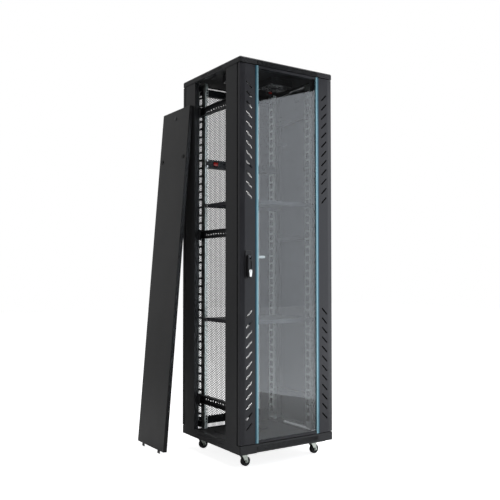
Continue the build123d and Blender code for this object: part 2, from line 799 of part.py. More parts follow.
def make_front_door():
    """Folded door frame: two deep stiles joined by narrow rails at head and foot."""
    x = door_edge
    low_rear = door_back
    points = [(-trim_outer, door_front + door_return), (-trim_outer, door_front),
              (-half_width + door_bevel_width, door_front), (-x, door_front + door_bevel_depth),
              (-x, low_rear), (-x + door_lip, low_rear)]
    section = folded(list(reversed(points)), sheet)
    stile = upright(section, door_low, door_high)
    left, right = left_right(stile)
    frame = left + right
    reach = trim_outer - sheet
    for low, plate in ((door_low, door_low), (door_high - door_rail_height, door_high - sheet)):
        lip = (low, low + door_rail_height)
        rail = block((-reach, reach), (door_front, door_back), (plate, plate + sheet))
        rail += block((-reach, reach), (door_front, door_front + sheet), lip)
        rail += block((-reach, reach), (door_back - sheet, door_back), lip)
        side_in = half_width - door_bevel_width
        for side in (-1, 1):
            span = sorted((side * (trim_outer - sheet), side * (side_in)))
            rail += block(span, (door_front, door_back), (plate, plate + sheet))
            span = sorted((side * (side_in), side * (x - 0.5)))
            rail += block(span, (door_front + door_bevel_depth, door_back), (plate, plate + sheet))
        frame += rail
    for hand in (-1, 1):
        frame -= slat_openings(hand)
        trim = sorted((hand * trim_outer, hand * trim_inner))
        frame -= block(trim, (door_front - trim_proud, trim_back), (door_low - 1, door_high + 1))
    for span in ((door_low - 1, door_low + sheet + 1), (door_high - sheet - 1, door_high + 1)):
        frame -= rod(pin_radius + running_gap, pin_x, -pin_y, span)
    through = (door_front - 1, door_front + sheet + 1)
    frame -= rod(boss_radius + running_gap, handle_x, through, handle_pivot_height)
    return frame


def make_glass():
    rise = sheet + glass_gap
    return block((-glass_edge, glass_edge), (glass_front, glass_front + glass_thickness),
                 (door_low + rise, door_high - rise))


def make_trim():
    """Left glazing strip: a channel that grips the glass and covers the joint."""
    front = door_front - trim_proud
    strip = block((-trim_outer, -trim_inner), (front, front + trim_depth), (door_low, door_high))
    groove = (glass_front - glass_gap, glass_front + glass_thickness + glass_gap)
    return strip - block((-trim_inner - glass_grip, -trim_inner + 1), groove, (door_low - 1, door_high + 1))


def make_gasket():
    reach = door_edge - door_lip + 2
    tall = door_high - door_low
    middle = Pos(0, (door_low + door_high) / 2)
    outer = middle * Rectangle(2 * (reach + gasket_width - 4), tall)
    inner = middle * Rectangle(2 * (reach - 4), tall - 2 * gasket_width)
    return Pos(0, door_back + gasket_thickness, 0) * extrude(Plane.XZ * (outer - inner), gasket_thickness)


# ---------------------------------------------------------------- swing handle
def make_handle_plate():
    top = handle_pivot_height + handle_plate_top
    low = handle_pivot_height - handle_plate_bottom
    half = handle_plate_width / 2
    plate = block((handle_x - half, handle_x + half), (plate_front, door_front), (low, top))
    plate = fillet(plate.edges().filter_by(Axis.Y), 10)
    plate = chamfer(plate.faces().sort_by(Axis.Y)[0].edges(), 1.5)
    plate += rod(boss_radius, handle_x, (door_front - 1, cam_front - touch_gap), handle_pivot_height)
    bore = (plate_front - 1, cam_front)
    return plate - rod(spindle_radius + running_gap, handle_x, bore, handle_pivot_height)


def make_spindle():
    """Square head in front with a cross pin for the lever, round shaft to the cam behind."""
    z = handle_pivot_height
    cam_back = cam_front + cam_thickness
    spindle = rod(spindle_radius, handle_x, (plate_front - touch_gap, cam_back), z)
    half = head_width / 2
    head_y = (pivot_y - 5, plate_front - touch_gap)
    spindle += block((handle_x - half, handle_x + half), head_y, (z - 5, z + 5))
    pin = (handle_x - lever_width / 2, handle_x + lever_width / 2)
    return spindle + rod(trunnion_radius, pin, pivot_y, z)


def make_cam():
    """Bell crank: long arm towards the glass, and the hook that holds the door, upward when released."""
    z = handle_pivot_height
    span = (cam_front, cam_front + cam_thickness)
    half = cam_width / 2
    arm = block((handle_x, handle_x + cam_length - half), span, (z - half, z + half))
    arm += rod(half, handle_x + cam_length - half, span, z)
    arm += rod(half + 3, handle_x, span, z)
    arm += block((handle_x - half, handle_x + half), span, (z, z + hook_length))
    return arm - rod(spindle_radius, handle_x, (span[0] - 1, span[1] + 1), z)


def make_lever():
    z = handle_pivot_height
    half = lever_width / 2
    x_span = (handle_x - half, handle_x + half)
    lever = block(x_span, (lever_front, lever_back), (z - lever_length, z))
    lever += rod(lever_thickness / 2, x_span, pivot_y, z)
    lever = fillet(lever.edges().filter_by(Axis.Y).group_by(Axis.Z)[0], 9)
    slot = head_width / 2 + touch_gap
    lever -= block((handle_x - slot, handle_x + slot), (lever_front - 1, lever_back + 1), (z - 13, z + 20))
    lever -= rod(trunnion_radius + running_gap, (x_span[0] - 1, x_span[1] + 1), pivot_y, z)
    grip = block((handle_x - 8, handle_x + 8), (lever_front - 1, lever_front + 3), (z - 62, z - 22))
    lever -= fillet(grip.edges().filter_by(Axis.Y), 6)
    lever -= rod(lock_radius + running_gap, handle_x, (lever_front - 1, lever_back - 3), z - lock_drop)
    rivet_z = z - lock_drop + rivet_rise
    rivet_y = (lever_front - touch_gap - cover_thickness, lever_front + 2)
    return lever + rod(rivet_radius, handle_x, rivet_y, rivet_z)


def make_lock_plug():
    z = handle_pivot_height - lock_drop
    plug = rod(lock_radius, handle_x, (lever_front, lever_back - 3 - touch_gap), z)
    return plug - block((handle_x - 1, handle_x + 1), (lever_front - 1, lever_front + 5), (z - 4, z + 4))


def make_lock_cover():
    """Dust cover over the keyhole; it swings aside about its top rivet."""
    z = handle_pivot_height - lock_drop
    half = cover_width / 2
    foot = half - cover_taper
    rise = cover_height / 2
    front = lever_front - touch_gap - cover_thickness
    corners = [(handle_x - half, z + rise), (handle_x + half, z + rise), (handle_x + foot, z - rise),
               (handle_x - foot, z - rise)]
    outline = make_face(Polyline(*corners, close=True))
    outline = fillet(outline.vertices(), foot - 1)
    cover = Pos(0, front + cover_thickness, 0) * extrude(Plane.XZ * outline, cover_thickness)
    cover = fillet(cover.faces().sort_by(Axis.Y)[0].edges(), 1.2)
    return cover - rod(rivet_radius + running_gap, handle_x, (front - 1, lever_front), z + rivet_rise)


# ---------------------------------------------------------------- rear door
def make_rear_door():
    """Folded pan with a large opening for the mesh."""
    x = door_edge
    y = half_depth
    points = [(-x + door_lip, y - door_thickness), (-x, y - door_thickness), (-x, y), (-x + rear_border, y),
              (-x + rear_border, y - 8)]
    stile = upright(folded(list(reversed(points)), sheet), door_low, door_high)
    left, right = left_right(stile)
    frame = left + right
    reach = x - rear_border + sheet
    for low, plate in ((door_low, door_low), (door_high - rear_rail_border, door_high - sheet)):
        frame += block((-reach, reach), (y - sheet, y), (low, low + rear_rail_border))
        frame += block((-x + 1, x - 1), (y - door_thickness, y), (plate, plate + sheet))
    for span in ((door_low - 1, door_low + sheet + 1), (door_high - sheet - 1, door_high + 1)):
        frame -= rod(pin_radius + running_gap, pin_x, pin_y, span)
    frame -= rod(lock_radius + running_gap, rear_lock_x, (y - sheet - 1, y + 1), handle_pivot_height)
    return frame


def make_mesh():
    y = half_depth - sheet
    reach = door_edge - rear_border - sheet - touch_gap
    rise = rear_rail_border - mesh_overlap
    return block((-reach, reach), (y - mesh_thickness, y), (door_low + rise, door_high - rise))


def make_rear_lock():
    """Key barrel with a flange outside and its cam behind the door."""
    y = half_depth
    x = rear_lock_x
    z = handle_pivot_height
    cam_y = (lip_back - 2 - cam_thickness, lip_back - 2)
    lock = rod(lock_radius, x, (cam_y[1], y + touch_gap), z)
    lock += rod(lock_radius + 4, x, (y + touch_gap, y + 5), z)
    lock -= block((x - 1, x + 1), (y + 1, y + 6), (z - 5, z + 5))
    return lock + block((x - 6, x + 6), cam_y, (z - 8, z + rear_cam_length))


def make_hinge_pins():
    pins = []
    for y in (-pin_y, pin_y):
        pins.append(rod(pin_radius, pin_x, y, (base_top, base_top + pin_reach)))
        pins.append(rod(pin_radius, pin_x, y, (cap_low - pin_reach, cap_low)))
    return pins


# ---------------------------------------------------------------- side panels
def make_side_panel():
    """Right side panel: a pan with turned-in edges and two tabs under its foot."""
    x = half_width
    half = panel_width / 2
    back = x - panel_depth
    wall = panel_sheet
    pan = block((back, x), (-half, half), (panel_low, panel_high))
    pan -= block((back - 1, x - wall), (-half + wall, half - wall), (panel_low + wall, panel_high - wall))
    lip = block((back, back + wall), (-half, half), (panel_low, panel_high))
    inner = half - panel_lip
    pan += lip - block((back - 1, x), (-inner, inner), (panel_low + panel_lip, panel_high - panel_lip))
    tab_x = (x - tab_inset - wall, x - tab_inset)
    for end in (-1, 1):
        centre = end * tab_share * panel_width
        tab_y = (centre - tab_width / 2, centre + tab_width / 2)
        pan += block(tab_x, tab_y, (panel_low - tab_length, panel_low + 1))
        latch_y = end * (half - latch_inset)
        latch_z = panel_high - latch_drop
        slot_y = (latch_y - 7 - latch_travel, latch_y + 7 + latch_travel)
        pan -= block((x - wall - 1, x + 1), slot_y, (latch_z - 6, latch_z + 6))
    lock_z = panel_high - lock_drop_panel
    pan -= rod(lock_radius + running_gap, (x - wall - 1, x + 1), 0, lock_z)
    return fillet(pan.edges().filter_by(Axis.Z).group_by(Axis.X)[-1], 0.8 * wall)


def make_latch(end):
    """Slide latch of the right panel: finger button outside, tongue that slides behind the post's lip."""
    x = half_width
    half = panel_width / 2
    z = panel_high - latch_drop
    y = end * (half - latch_inset)
    stem = block((latch_plane, x + touch_gap), (y - 6, y + 6), (z - 5, z + 5))
    button = block((x + touch_gap, x + 3), (y - 10, y + 10), (z - 10, z + 10))
    tongue_y = sorted((y - end * 14, end * half))
    return stem + button + block((latch_plane - latch_plate, latch_plane), tongue_y, (z - 8, z + 8))


def make_panel_lock():
    """Key barrel of the right panel with a cam that hangs down when released."""
    x = half_width
    z = panel_high - lock_drop_panel
    lock = rod(lock_radius, (latch_plane, x + touch_gap), 0, z)
    lock += rod(lock_radius + 3, (x + touch_gap, x + 3), 0, z)
    lock -= block((x + 1, x + 4), (-1, 1), (z - 5, z + 5))
    return lock + block((latch_plane - latch_plate, latch_plane), (-7, 7), (z - panel_cam_length, z))


def make_keepers():
    """Angles under the roof's side ledges for the panel locks' cams, and a striker for each door's hook."""
    along = (-keeper_length / 2, keeper_length / 2)
    foot = block((keeper_x - sheet, half_width - 4), along, (cap_low - sheet, cap_low))
    leg = block((keeper_x - sheet, keeper_x), along, (cap_low - keeper_drop, cap_low))
    left, right = left_right(foot + leg)
    lip_x = -half_width + post_front_flange
    tall = (handle_pivot_height - striker_height / 2, handle_pivot_height + striker_height / 2)
    plate_y = (cam_front - striker_clearance - sheet, cam_front - striker_clearance)
    striker = block((lip_x, lip_x + sheet), (-post_front + sheet, plate_y[1]), tall)
    striker += block((lip_x, lip_x + striker_reach), plate_y, tall)
    return [left, right, striker, mirror(striker, about=Plane.XZ)]


def leaning(shape):
    """Move a piece of the right panel to the panel that leans on the left side."""
    installed = mirror(shape, about=Plane.YZ)
    foot = Pos(half_width, 0, -panel_low) * installed
    lean = radians(lean_angle)
    top_inner = panel_depth * cos(lean) + panel_height * sin(lean)
    tab_inner = tab_inset + panel_sheet
    lift = tab_inner * sin(lean) + tab_length * cos(lean)
    place = (-half_width - touch_gap - top_inner, lean_centre_y, lift)
    return Pos(*place) * Rot(0, lean_angle, 0) * foot


# ---------------------------------------------------------------- the set of parts
parts["base_frame"] = make_base()
parts["floor_panel"] = make_floor()
parts["cable_entry_cover"] = make_entry_cover()
parts["castor_plates"] = make_castor_plates()
parts.update(make_posts())
parts["rear_beams"] = make_rear_beams()
struts = [make_strut(height) for height in strut_heights]
parts["depth_struts_left"] = struts
parts["depth_struts_right"] = [mirror(strut, about=Plane.YZ) for strut in struts]
for row, rail_y in (("front", front_rail_y), ("rear", rear_rail_y)):
    left_rail, right_rail = left_right(make_rail(rail_y))
    parts["rail_" + row + "_left"] = left_rail
    parts["rail_" + row + "_right"] = right_rail
parts["roof_frame"] = make_roof_frame()
parts["roof_panel"] = make_roof_panel()
parts["latch_keepers"] = make_keepers()
parts["fan_housings"] = [make_fan_housing(x, y) for x, y in fan_places()]
parts["fan_guards"] = [make_fan_guard(x, y) for x, y in fan_places()]
for hand, (fan_x, fan_centre_y) in zip(("left", "right"), fan_places()):
    parts["fan_rotor_" + hand] = make_fan_rotor(fan_x, fan_centre_y)
parts["fan_switch_box"] = make_fan_switch()
parts["fan_rocker"] = make_rocker(switch_x, fan_rocker_y, fan_rocker_z, fan_rocker_width, 15, 8)
parts["shelf_lower"] = make_shelf(shelf_levels[0])
parts["shelf_upper"] = make_shelf(shelf_levels[1])
parts["power_strip"] = make_power_strip()
strip_front = rear_rail_y - ear_thickness
parts["power_rocker"] = make_rocker(rocker_x, strip_front, strip_z, rocker_width, rocker_height, rocker_depth)
parts["frame_bolts"] = make_bolts()
parts["hinge_pins"] = make_hinge_pins()
parts["front_door_frame"] = make_front_door()
parts["front_door_glass"] = make_glass()
left_trim, right_trim = left_right(make_trim())
parts["glass_trim_left"] = left_trim
parts["glass_trim_right"] = right_trim
parts["front_door_gasket"] = make_gasket()
parts["handle_plate"] = make_handle_plate()
parts["handle_spindle"] = make_spindle()
parts["latch_cam"] = make_cam()
parts["handle_lever"] = make_lever()
parts["lock_plug"] = make_lock_plug()
parts["lock_cover"] = make_lock_cover()
parts["rear_door_frame"] = make_rear_door()
parts["rear_door_mesh"] = make_mesh()
parts["rear_lock"] = make_rear_lock()
right_panel = {"side_panel": make_side_panel(), "panel_lock": make_panel_lock(),
               "latch_front": make_latch(-1), "latch_rear": make_latch(1)}
for name, shape in right_panel.items():
    parts[name + "_right"] = shape
    parts[name + "_left"] = leaning(shape)
for name, castor_x, castor_y in castor_places():
    fork, axle, wheel = make_castor(castor_x, castor_y)
    parts["castor_fork_" + name] = [fork, axle]
    parts["castor_wheel_" + name] = wheel


def solids_of(item):
    pieces = item if isinstance(item, list) else [item]
    return [solid for piece in pieces for solid in piece.solids()]


boxes = [Compound(solids_of(item)).bounding_box() for item in parts.values()]
shift_x = -(min(box.min.X for box in boxes) + max(box.max.X for box in boxes)) / 2
shift_y = -(min(box.min.Y for box in boxes) + max(box.max.Y for box in boxes)) / 2
shift_z = -min(box.min.Z for box in boxes)

if __name__ == "__main__":
    os.makedirs("parts", exist_ok=True)
    for name, item in parts.items():
        placed = Pos(shift_x, shift_y, shift_z) * Compound(solids_of(item))
        export_step(placed, "parts/" + name + ".step")
    print(len(parts), "parts; origin moved by", round(shift_x, 3), round(shift_y, 3), round(shift_z, 3))
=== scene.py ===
"""Looks of the 42-unit network rack cabinet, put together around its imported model."""
import math
import bpy
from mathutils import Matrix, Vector


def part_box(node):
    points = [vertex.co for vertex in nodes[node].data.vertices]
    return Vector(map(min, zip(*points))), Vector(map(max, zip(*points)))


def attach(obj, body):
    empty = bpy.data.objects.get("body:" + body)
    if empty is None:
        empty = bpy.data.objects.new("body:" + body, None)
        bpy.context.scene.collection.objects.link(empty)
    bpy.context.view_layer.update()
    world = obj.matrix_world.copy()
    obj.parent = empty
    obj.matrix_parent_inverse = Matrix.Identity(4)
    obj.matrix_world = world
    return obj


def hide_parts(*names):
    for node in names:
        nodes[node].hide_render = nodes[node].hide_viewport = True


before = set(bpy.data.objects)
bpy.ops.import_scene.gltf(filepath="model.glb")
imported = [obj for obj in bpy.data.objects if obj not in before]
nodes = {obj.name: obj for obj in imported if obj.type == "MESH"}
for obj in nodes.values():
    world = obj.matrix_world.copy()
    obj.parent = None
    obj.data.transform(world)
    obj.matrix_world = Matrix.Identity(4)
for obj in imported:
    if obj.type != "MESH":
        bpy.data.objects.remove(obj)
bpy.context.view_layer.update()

bpy.ops.object.select_all(action="DESELECT")


# ---------------------------------------------------------------- base frame, posts, beams, struts and roof
# The load-bearing skeleton: 1.5 mm steel sheet, folded, welded and bolted, then powder coated satin black.
# The coat has a fine grain, is rubbed paler along the folds, and holds a little dust on its level faces.
def put(tree, kind, sockets=None, **options):
    """Add a shader node with its options; a socket given another node's output is linked to it."""
    made = tree.nodes.new("ShaderNode" + kind)
    for name, value in options.items():
        setattr(made, name, value)
    for name, value in (sockets or {}).items():
        if isinstance(value, bpy.types.NodeSocket):
            tree.links.new(value, made.inputs[name])
        else:
            made.inputs[name].default_value = value
    return made


def mixed(tree, factor, first, second):
    """Colour between two others by a factor from 0 to 1."""
    colours = [value if isinstance(value, bpy.types.NodeSocket) else (*value, 1) for value in (first, second)]
    mix = put(tree, "Mix", {0: factor, 6: colours[0], 7: colours[1]}, data_type="RGBA")
    return mix.outputs[2]


def spread(tree, value, low, high, from_low=0.0, from_high=1.0):
    """Value moved from one range to another, held at its ends."""
    sockets = {"Value": value, "From Min": from_low, "From Max": from_high, "To Min": low, "To Max": high}
    return put(tree, "MapRange", sockets).outputs["Result"]


def times(tree, first, second):
    return put(tree, "Math", {0: first, 1: second}, operation="MULTIPLY").outputs[0]


def new_group(name, inputs, outputs):
    """Empty node group with its sockets, and its two end nodes."""
    group = bpy.data.node_groups.new(name, "ShaderNodeTree")
    for socket, start in inputs.items():
        added = group.interface.new_socket(socket, in_out="INPUT", socket_type="NodeSocketFloat")
        added.default_value = start
    for socket, kind in outputs.items():
        group.interface.new_socket(socket, in_out="OUTPUT", socket_type="NodeSocket" + kind)
    return group, group.nodes.new("NodeGroupInput"), group.nodes.new("NodeGroupOutput")


worn_edges, given, result = new_group("worn edges", {"Amount": 0.5, "Radius": 0.001},
                                      {"Mask": "Float", "Normal": "Vector"})
place = put(worn_edges, "TexCoord").outputs["Object"]
rounded = put(worn_edges, "Bevel", {"Radius": given.outputs["Radius"]}, samples=4).outputs["Normal"]
flat = put(worn_edges, "NewGeometry").outputs["True Normal"]
facing = put(worn_edges, "VectorMath", {0: rounded, 1: flat}, operation="DOT_PRODUCT").outputs["Value"]
patches = put(worn_edges, "TexNoise", {"Vector": place, "Scale": 38.0, "Detail": 5.0}).outputs[0]
edge = times(worn_edges, spread(worn_edges, facing, 1.0, 0.0, 0.80, 0.99),
             spread(worn_edges, patches, 0.0, 1.0, 0.42, 0.7))
worn_edges.links.new(times(worn_edges, edge, given.outputs["Amount"]), result.inputs["Mask"])
worn_edges.links.new(rounded, result.inputs["Normal"])

settled_dust, given, result = new_group("settled dust", {"Amount": 0.3}, {"Mask": "Float"})
place = put(settled_dust, "TexCoord").outputs["Object"]
normal = put(settled_dust, "NewGeometry").outputs["Normal"]
upward = put(settled_dust, "SeparateXYZ", {0: normal}).outputs["Z"]
cloud = put(settled_dust, "TexNoise",
            {"Vector": place, "Scale": 11.0, "Detail": 8.0, "Roughness": 0.65}).outputs[0]
lying = times(settled_dust, spread(settled_dust, upward, 0.0, 1.0, 0.35, 0.95),
              spread(settled_dust, cloud, 0.15, 1.0, 0.35, 0.7))
settled_dust.links.new(times(settled_dust, lying, given.outputs["Amount"]), result.inputs["Mask"])

surface_grain, given, result = new_group("surface grain", {"Scale": 900.0},
                                         {"Height": "Float", "Patch": "Float"})
place = put(surface_grain, "TexCoord").outputs["Object"]
fine = put(surface_grain, "TexNoise",
           {"Vector": place, "Scale": given.outputs["Scale"], "Detail": 3.0}).outputs[0]
broad = put(surface_grain, "TexNoise",
            {"Vector": place, "Scale": 6.5, "Detail": 6.0, "Roughness": 0.6}).outputs[0]
surface_grain.links.new(fine, result.inputs["Height"])
surface_grain.links.new(spread(surface_grain, broad, 0.0, 1.0, 0.3, 0.7), result.inputs["Patch"])


def placed_group(tree, group, **values):
    """One of the shared groups in a material, with its own values."""
    made = put(tree, "Group", node_tree=group)
    for name, value in values.items():
        made.inputs[name].default_value = value
    return made.outputs


def new_material(name):
    """Material with an empty Principled shader."""
    material = bpy.data.materials.new(name)
    material.use_nodes = True
    tree = material.node_tree
    return material, tree, tree.nodes["Principled BSDF"]


def coated(name, colour, roughness, grain=900.0, depth=0.00012, wear=0.35, dust=0.12):
    """Paint or moulded plastic: fine grain, uneven sheen, paler edges and a little dust."""
    material, tree, shader = new_material(name)
    shader.inputs["Specular IOR Level"].default_value = 0.32
    texture = placed_group(tree, surface_grain, Scale=grain)
    edges = placed_group(tree, worn_edges, Amount=wear, Radius=0.0012)
    lying = placed_group(tree, settled_dust, Amount=dust)["Mask"]
    deep = [0.82 * part for part in colour]
    pale = [1.22 * part for part in colour]
    paint = mixed(tree, texture["Patch"], deep, pale)
    paint = mixed(tree, edges["Mask"], paint, (0.16, 0.16, 0.165))
    paint = mixed(tree, lying, paint, (0.30, 0.29, 0.27))
    tree.links.new(paint, shader.inputs["Base Color"])
    sheen = spread(tree, texture["Patch"], roughness - 0.05, roughness + 0.06)
    sheen = put(tree, "Math", {0: sheen, 1: lying}, operation="ADD").outputs[0]
    tree.links.new(sheen, shader.inputs["Roughness"])
    sockets = {"Strength": 0.6, "Distance": depth, "Height": texture["Height"], "Normal": edges["Normal"]}
    tree.links.new(put(tree, "Bump", sockets).outputs[0], shader.inputs["Normal"])
    return material


def dress(material, *names):
    """Give CAD nodes their finish."""
    for name in names:
        slots = nodes[name].data.materials
        slots.clear()
        slots.append(material)


frame_paint = coated("frame_black_coat", (0.015, 0.0155, 0.017), 0.40)
dress(frame_paint, "base_frame", "post_front_left", "post_front_right", "post_rear_left", "post_rear_right",
      "rear_beams", "depth_struts_left", "depth_struts_right", "roof_frame", "roof_panel", "castor_plates",
      "latch_keepers")


# ---------------------------------------------------------------- floor panel and cable entry cover
# One folded steel sheet laid in the base, with a smaller sheet that slides over the cable entry.
# Both are powder coated a shade greyer than the frame, and dust has settled on them.
floor_paint = coated("floor_grey_coat", (0.05, 0.05, 0.055), 0.42, dust=0.3)
dress(floor_paint, "floor_panel", "cable_entry_cover")


# ---------------------------------------------------------------- mounting rails
# Four 2 mm steel rails, folded and punched with square holes, that stand against the depth struts.
# They are bright zinc plated, so the crystals of the zinc show.
def plated(name, colour, roughness, spangle=0.12, wear=0.0, dust=0.1, scale=95.0):
    """Zinc or nickel plate: crystals of slightly different tone and sheen, with fine drawn scratches."""
    material, tree, shader = new_material(name)
    shader.inputs["Metallic"].default_value = 1.0
    place = put(tree, "TexCoord").outputs["Object"]
    crystals = put(tree, "TexVoronoi", {"Vector": place, "Scale": scale}).outputs["Color"]
    tone = put(tree, "SeparateColor", {0: crystals}).outputs[0]
    drawn = put(tree, "Mapping", {"Vector": place, "Scale": (260.0, 260.0, 9.0)}).outputs[0]
    lines = put(tree, "TexNoise", {"Vector": drawn, "Scale": 4.0, "Detail": 4.0}).outputs[0]
    broad = placed_group(tree, surface_grain, Scale=500.0)
    edges = placed_group(tree, worn_edges, Amount=wear, Radius=0.0008)
    lying = placed_group(tree, settled_dust, Amount=dust)["Mask"]
    low = [part * (1 - spangle) for part in colour]
    high = [min(1.0, part * (1 + spangle)) for part in colour]
    metal = mixed(tree, tone, low, high)
    metal = mixed(tree, times(tree, broad["Patch"], 0.35), metal, [part * 0.7 for part in colour])
    metal = mixed(tree, edges["Mask"], metal, (0.8, 0.8, 0.78))
    metal = mixed(tree, lying, metal, (0.35, 0.34, 0.32))
    tree.links.new(metal, shader.inputs["Base Color"])
    sheen = put(tree, "Math", {0: spread(tree, tone, roughness - 0.06, roughness + 0.06),
                               1: spread(tree, lines, -0.06, 0.06, 0.3, 0.7)}, operation="ADD").outputs[0]
    tree.links.new(sheen, shader.inputs["Roughness"])
    sockets = {"Strength": 0.3, "Distance": 0.00006, "Height": lines, "Normal": edges["Normal"]}
    tree.links.new(put(tree, "Bump", sockets).outputs[0], shader.inputs["Normal"])
    return material


rail_zinc = plated("rail_zinc_plate", (0.60, 0.64, 0.61), 0.38)
dress(rail_zinc, "rail_front_left", "rail_front_right", "rail_rear_left", "rail_rear_right")


# ---------------------------------------------------------------- bolts, hinge pins, locks and cams
# Turned and stamped steel: bright nickel plate on the bolts, pins and door locks, black on the handle's
# spindle and the side panels' locks, and dull zinc on the front door's cam.
bright_plate = plated("bright_steel_plate", (0.78, 0.78, 0.76), 0.24, spangle=0.04, dust=0.02, scale=700.0)
dress(bright_plate, "frame_bolts", "hinge_pins", "lock_plug", "lock_cover", "rear_lock")
dark_plate = plated("black_steel_plate", (0.10, 0.10, 0.105), 0.34, spangle=0.05, dust=0.02, scale=700.0)
dress(dark_plate, "handle_spindle", "panel_lock_left", "panel_lock_right")
cam_zinc = plated("cam_zinc_plate", (0.42, 0.43, 0.41), 0.36, spangle=0.06, dust=0.02, scale=420.0)
dress(cam_zinc, "latch_cam")


# ---------------------------------------------------------------- shelves
# Slotted trays of folded steel sheet, powder coated black.
# Each bolts to the front and the rear rails and carries a little dust.
shelf_paint = coated("shelf_black_coat", (0.035, 0.035, 0.04), 0.42, dust=0.3)
dress(shelf_paint, "shelf_lower", "shelf_upper")


# ---------------------------------------------------------------- roof fans
# Two axial fans in moulded plastic housings, hung under the roof panel.
# Each rotor turns above a guard of welded steel wire, plated bright.
fan_plastic = coated("fan_plastic", (0.022, 0.022, 0.024), 0.5, grain=600.0, wear=0.1)
dress(fan_plastic, "fan_housings", "fan_rotor_left", "fan_rotor_right")
guard_plate = plated("guard_steel_plate", (0.72, 0.72, 0.72), 0.25, spangle=0.03, scale=800.0)
dress(guard_plate, "fan_guards")


# ---------------------------------------------------------------- power strip and switches
# An extruded strip with moulded sockets on the rear rails, and a small moulded switch box for the fans.
# Both are black; the two rockers are glossy red plastic.
strip_finish = coated("strip_black_plastic", (0.03, 0.031, 0.034), 0.36, grain=1200.0, wear=0.2)
dress(strip_finish, "power_strip", "fan_switch_box")
switch_red = coated("switch_red_plastic", (0.55, 0.03, 0.025), 0.22, grain=400.0, depth=0.00003, wear=0.0,
                    dust=0.05)
dress(switch_red, "fan_rocker", "power_rocker")


# ---------------------------------------------------------------- front door
# Two deep folded stiles joined by narrow rails, powder coated black, around a pane of toughened glass.
# A sponge gasket is glued round the frame's back, and an anodised strip runs down each long edge of the pane;
# the outer side of each strip is painted dark teal as painted shade.
door_paint = coated("door_black_coat", (0.017, 0.017, 0.0205), 0.38)
dress(door_paint, "front_door_frame", "rear_door_frame", "rear_door_mesh")
rubber = coated("gasket_sponge", (0.012, 0.012, 0.012), 0.85, grain=1500.0, depth=0.0004, wear=0.0)
dress(rubber, "front_door_gasket")

door_glass, tree, shader = new_material("door_glass")
shader.inputs["Base Color"].default_value = (0.86, 0.90, 0.92, 1)
shader.inputs["Transmission Weight"].default_value = 1.0
shader.inputs["IOR"].default_value = 1.5
smears = placed_group(tree, surface_grain, Scale=60.0)
tree.links.new(spread(tree, smears["Patch"], 0.0, 0.035), shader.inputs["Roughness"])
clear = put(tree, "BsdfTransparent", {"Color": (0.80, 0.84, 0.85, 1)}).outputs[0]
ray = put(tree, "LightPath").outputs
shade = put(tree, "Math", {0: ray["Is Shadow Ray"], 1: ray["Is Diffuse Ray"]}, operation="MAXIMUM").outputs[0]
seen = put(tree, "MixShader", {0: shade, 1: shader.outputs[0], 2: clear}).outputs[0]
tree.links.new(seen, tree.nodes["Material Output"].inputs["Surface"])
dress(door_glass, "front_door_glass")

door_low, door_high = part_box("front_door_frame")
door_middle = (door_low + door_high) / 2
trim_edge = door_middle.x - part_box("glass_trim_left")[0].x
trim_cyan, tree, shader = new_material("trim_cyan_anodised")
place = put(tree, "TexCoord").outputs["Object"]
drawn = put(tree, "Mapping", {"Vector": place, "Scale": (900.0, 900.0, 6.0)}).outputs[0]
lines = put(tree, "TexNoise", {"Vector": drawn, "Scale": 2.0, "Detail": 3.0}).outputs[0]
texture = placed_group(tree, surface_grain, Scale=400.0)
edges = placed_group(tree, worn_edges, Amount=0.5, Radius=0.0008)
tone = mixed(tree, lines, (0.17, 0.33, 0.38), (0.22, 0.40, 0.46))
tone = mixed(tree, times(tree, texture["Patch"], 0.25), tone, (0.15, 0.28, 0.33))
tone = mixed(tree, edges["Mask"], tone, (0.42, 0.56, 0.60))
from_middle = put(tree, "Math", {0: put(tree, "SeparateXYZ", {0: place}).outputs["X"], 1: door_middle.x},
                  operation="SUBTRACT").outputs[0]
from_middle = put(tree, "Math", {0: from_middle}, operation="ABSOLUTE").outputs[0]
# The outer part of each strip, away from the door's middle, is painted dark teal: painted shade standing in
# for the dark reflection on the strip's rounded outer side.
painted_shade_start = trim_edge - 0.0078
painted_shade_full = trim_edge - 0.0068
painted_dark_side = spread(tree, from_middle, 0.0, 1.0, painted_shade_start, painted_shade_full)
tone = mixed(tree, painted_dark_side, tone, (0.012, 0.075, 0.115))
tree.links.new(tone, shader.inputs["Base Color"])
tree.links.new(spread(tree, lines, 0.22, 0.42, 0.3, 0.7), shader.inputs["Roughness"])
shader.inputs["Metallic"].default_value = 0.35
sockets = {"Strength": 0.3, "Distance": 0.00004, "Height": lines, "Normal": edges["Normal"]}
tree.links.new(put(tree, "Bump", sockets).outputs[0], shader.inputs["Normal"])
dress(trim_cyan, "glass_trim_left", "glass_trim_right")


# ---------------------------------------------------------------- swing handle
# A plate fixed to the door's left stile, and the lever that folds down into it.
# Both are moulded in glass-filled nylon with a fine grain.
handle_plastic = coated("handle_plastic", (0.018, 0.018, 0.02), 0.36, grain=1500.0, depth=0.00006, wear=0.25)
dress(handle_plastic, "handle_plate", "handle_lever")


# ---------------------------------------------------------------- rear door mesh
# Steel sheet punched all over with hexagonal holes and welded behind the rear door's opening.
# It is coated with the door.
def select_only(*objects):
    """Select these objects, the first of them active."""
    bpy.ops.object.select_all(action="DESELECT")
    for thing in objects:
        thing.select_set(True)
    bpy.context.view_layer.objects.active = objects[0]


def apply_modifiers(piece):
    select_only(piece)
    for modifier in list(piece.modifiers):
        bpy.ops.object.modifier_apply(modifier=modifier.name)


def own(piece, body, slot, material, *replaced):
    """Finish a new piece: its material, the body it rides on and the CAD nodes it stands for; the slot
    argument is not used.
    """
    select_only(piece)
    bpy.ops.object.transform_apply(location=True, rotation=True, scale=True)
    piece.data.materials.clear()
    piece.data.materials.append(material)
    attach(piece, body)
    if replaced:
        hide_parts(*replaced)
    return piece


